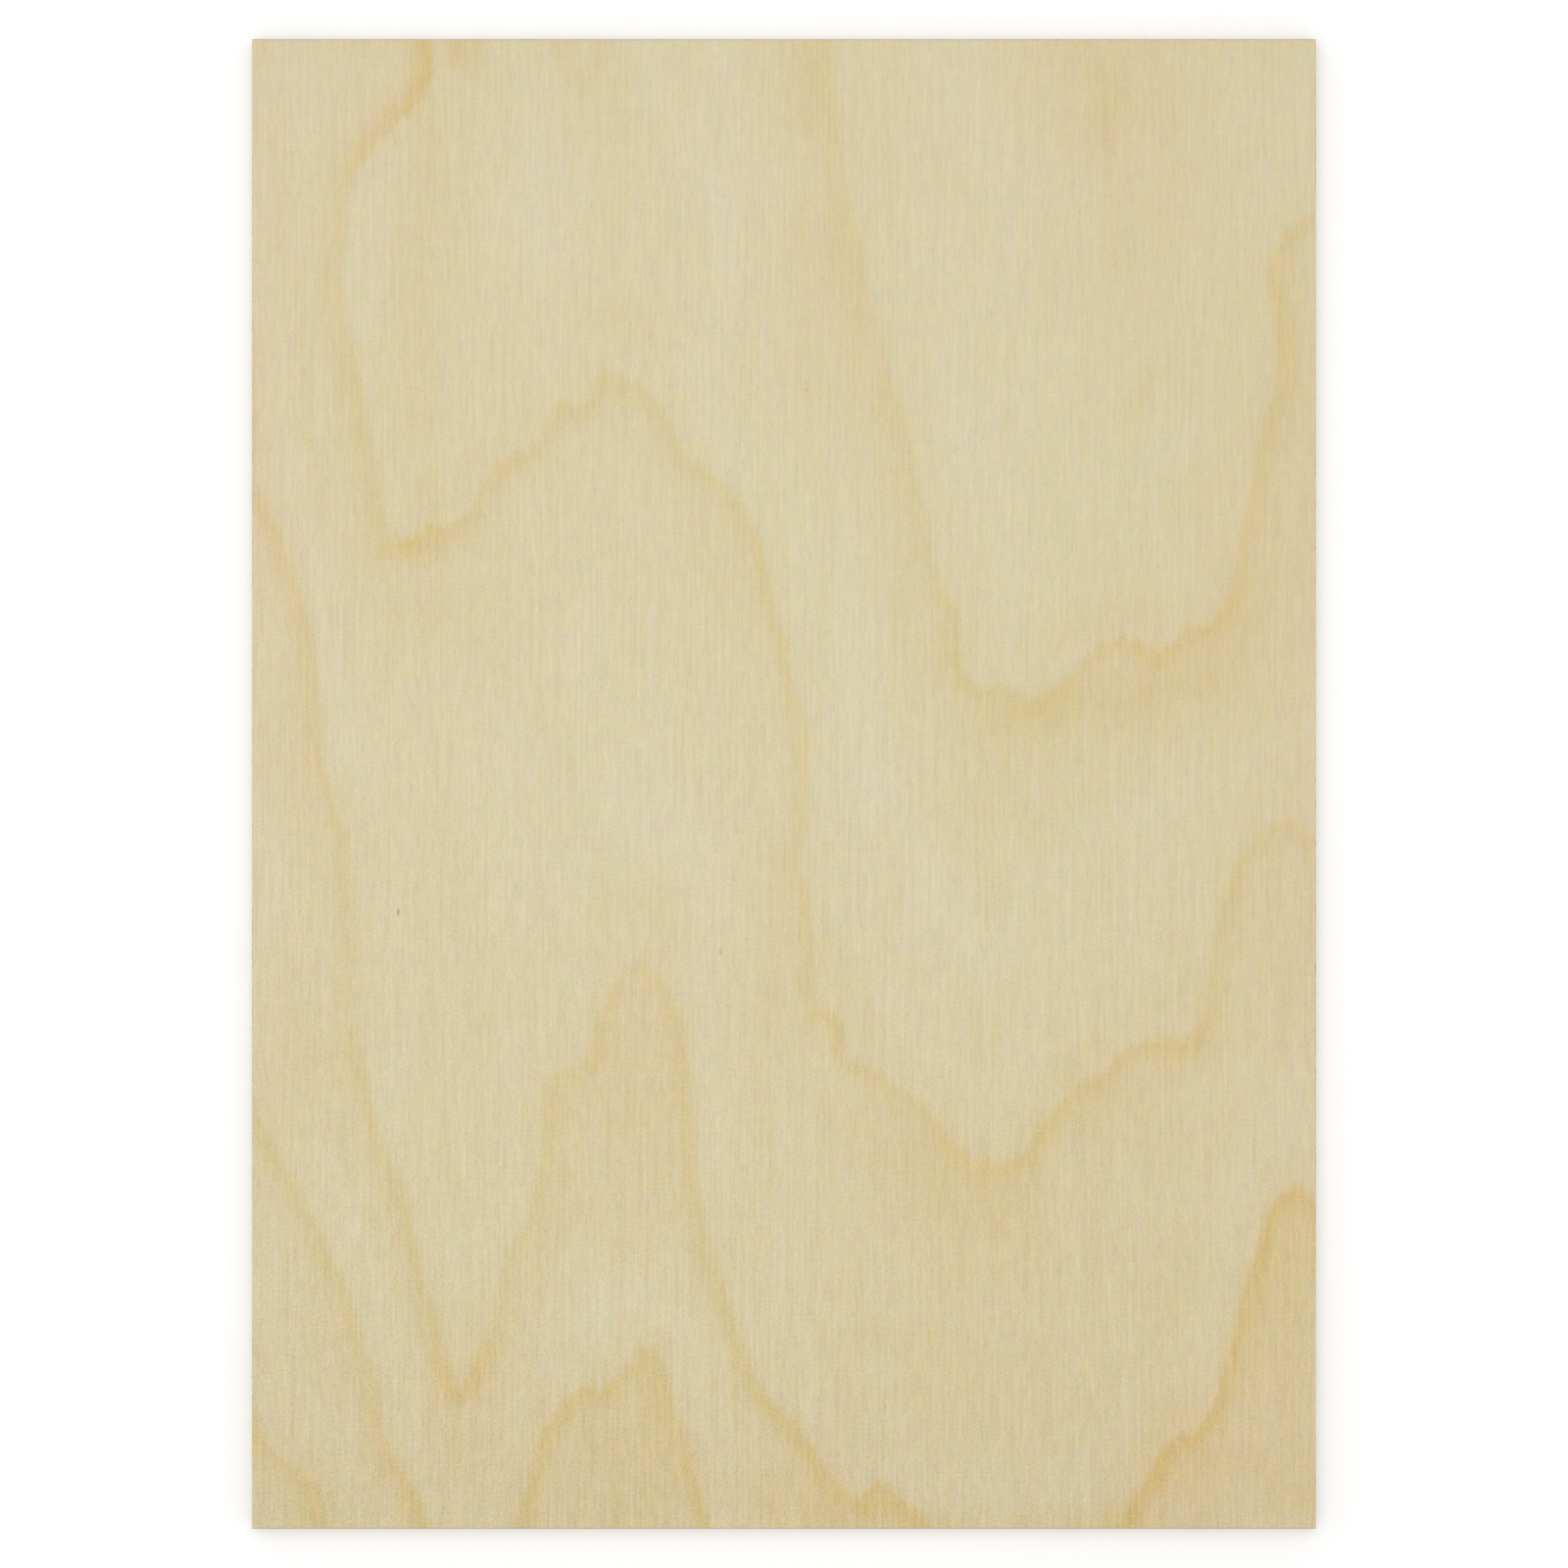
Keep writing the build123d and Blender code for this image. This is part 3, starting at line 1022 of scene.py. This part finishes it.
def unwrap(mesh):
    # One map with most of its room for the face. The back is smaller, and the sides are four strips.
    for other in [layer.name for layer in mesh.uv_layers if layer.name != "OFBake"]:
        mesh.uv_layers.remove(mesh.uv_layers[other])
    uv = mesh.uv_layers.get("OFBake") or mesh.uv_layers.new(name="OFBake")
    corners = readFrom(mesh.loops, "vertex_index", np.int32)
    spots = readFrom(mesh.vertices, "co", np.float32, 3)[corners]
    normals = readFrom(mesh.polygons, "normal", np.float32, 3)
    sizes = readFrom(mesh.polygons, "loop_total", np.int32)
    nx, ny, nz = np.repeat(normals, sizes, axis=0).T
    across = spots[:, 0] / boardWidth + 0.5
    along = spots[:, 1] / boardLength + 0.5
    up = spots[:, 2] / boardThickness
    places = np.zeros((len(corners), 2))
    margin, faceWide, faceHigh = 0.01, 0.70, 0.98
    stripLeft, stripWide, stripHigh, stripPitch = 0.735, 0.05, 0.56, 0.064
    backWide = 0.25
    backHigh = backWide * boardLength / boardWidth
    isTop, isBack = nz > 0.9, nz < -0.9
    places[isTop] = np.stack([margin + across * faceWide, margin + along * faceHigh], 1)[isTop]
    backLow = 1 - margin - backHigh
    places[isBack] = np.stack([stripLeft + (1 - across) * backWide, backLow + along * backHigh], 1)[isBack]
    side = ~(isTop | isBack)
    facesX = np.abs(nx) >= np.abs(ny)
    strips = [facesX & (nx > 0), facesX & (nx <= 0), ~facesX & (ny > 0), ~facesX & (ny <= 0)]
    for number, chosen in enumerate(strips):
        run = along if number < 2 else across
        strip = np.stack([stripLeft + number * stripPitch + up * stripWide, margin + run * stripHigh], 1)
        places[side & chosen] = strip[side & chosen]
    uv.data.foreach_set("uv", places.astype(np.float32).ravel())
    uv.active = True
    uv.active_render = True


unwrap(board.data)
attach(board, "root")
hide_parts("board")

# Floor, light and camera
studio = {
    "floorSize": 12.0,
    "floorLift": 0.16,
    "roomLight": 0.76,
    "lampPlace": (-0.12, 0.12, 1.4),
    "lampSize": 1.0,
    "lampPower": 4.9,
    "lens": 100.0,
    "sensor": 36.0,
}


def isSeen(tree):
    # 1 where the camera sees a surface, also in a gloss or through glass.
    rays = tree.nodes.new("ShaderNodeLightPath").outputs
    seen = sums(tree, "MAXIMUM", rays["Is Camera Ray"], rays["Is Glossy Ray"])
    return sums(tree, "MAXIMUM", seen, rays["Is Transmission Ray"])


def makeFloor():
    # Where it is seen the floor is lifted to white, and its shadow stays.
    material, tree, shader = startMaterial("paleFloor")
    setInputs(tree, shader, {
        "Base Color": (0.92, 0.92, 0.92, 1),
        "Roughness": 0.9,
        "Specular IOR Level": 0.1,
        "Emission Color": (1, 1, 1, 1),
        "Emission Strength": times(tree, isSeen(tree), studio["floorLift"]),
    })
    half = studio["floorSize"] / 2
    corners = [(-half, -half, 0), (half, -half, 0), (half, half, 0), (-half, half, 0)]
    floorMesh = bpy.data.meshes.new("floor")
    floorMesh.from_pydata(corners, [], [(0, 1, 2, 3)])
    floorMesh.materials.append(material)
    floor = addObject("floor", floorMesh)


def makeWorld():
    # An even light all round, which is white where it is seen.
    world = bpy.data.worlds.new("softRoom")
    world.use_nodes = True
    tree = world.node_tree
    level = ramp(tree, isSeen(tree), 0.0, 1.0, studio["roomLight"], 1.0, "LINEAR")
    setInputs(tree, tree.nodes["Background"], {"Color": (1, 1, 1, 1), "Strength": level})
    bpy.context.scene.world = world


def makeLamp():
    data = bpy.data.lights.new("softLamp", "AREA")
    data.shape = "DISK"
    data.size = studio["lampSize"]
    data.energy = studio["lampPower"]
    addObject("softLamp", data).location = studio["lampPlace"]


def makeCamera():
    # It looks straight down, from where the face fills the frame as it does in the photo.
    frameSide = boardLength * photo["side"] / photoHeight
    data = bpy.data.cameras.new("camera")
    data.lens = studio["lens"]
    data.sensor_width = studio["sensor"]
    camera = addObject("camera", data)
    camera.location = (0, 0, boardThickness + frameSide * studio["lens"] / studio["sensor"])
    bpy.context.scene.camera = camera


makeFloor()
makeWorld()
makeLamp()
makeCamera()
bpy.context.scene.view_settings.view_transform = "Standard"
print("stage set")
